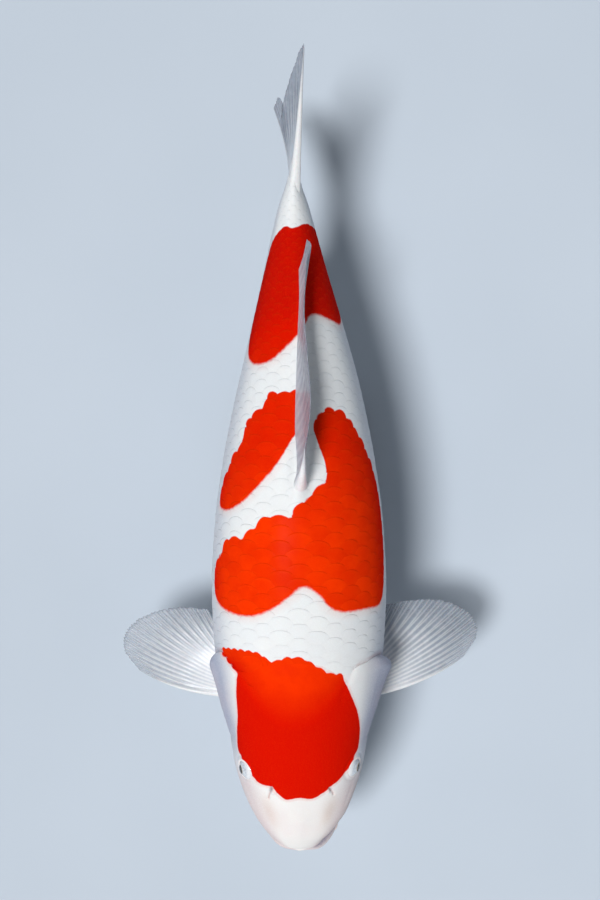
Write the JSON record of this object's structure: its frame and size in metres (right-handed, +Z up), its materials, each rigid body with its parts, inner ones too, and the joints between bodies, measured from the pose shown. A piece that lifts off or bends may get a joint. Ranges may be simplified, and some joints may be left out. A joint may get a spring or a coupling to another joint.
{
  "type": "koi carp",
  "caption": "Life-size koi carp, white with red patches on its head and back, swimming with fins spread, held over a plain flat oval base by short rods.",
  "frame": {"origin": "centre of the flat underside of the stand's base", "axes": "+Z up, head towards -Y and tail towards +Y, the fish's left side towards +X"},
  "size_m": [0.3457, 0.7387, 0.3091],
  "materials": {
    "skin": "smooth wet fish skin, red cap over white, soft clear gloss",
    "scaled_skin": "white scaled skin with red patches, wet gloss",
    "mouth": "soft pinkish white skin, wet gloss",
    "fin_web": "thin pale web between white rays, partly see-through",
    "eye": "clear wet eye, silvery iris round a dark pupil",
    "stand_wood": "satin dark walnut",
    "stand_steel": "satin brushed steel"
  },
  "bodies": {
    "root": {"head": "skin", "upper_lip": "mouth", "lower_jaw": "mouth", "gill_cover_left": "skin", "gill_cover_right": "skin", "eye_left": "eye", "eye_right": "eye", "lip_barbel_left": "mouth", "lip_barbel_right": "mouth", "corner_barbel_left": "mouth", "corner_barbel_right": "mouth", "trunk_front": "scaled_skin", "trunk_rear": "scaled_skin", "tail_stalk": "scaled_skin", "dorsal_fin": "fin_web", "anal_fin": "fin_web", "tail_fin_upper": "fin_web", "tail_fin_lower": "fin_web", "pectoral_fin_left": "fin_web", "pectoral_fin_right": "fin_web", "pelvic_fin_left": "fin_web", "pelvic_fin_right": "fin_web", "stand_base": "stand_wood", "stand_rod_front": "stand_steel", "stand_rod_rear": "stand_steel"}
  },
  "joints": []
}
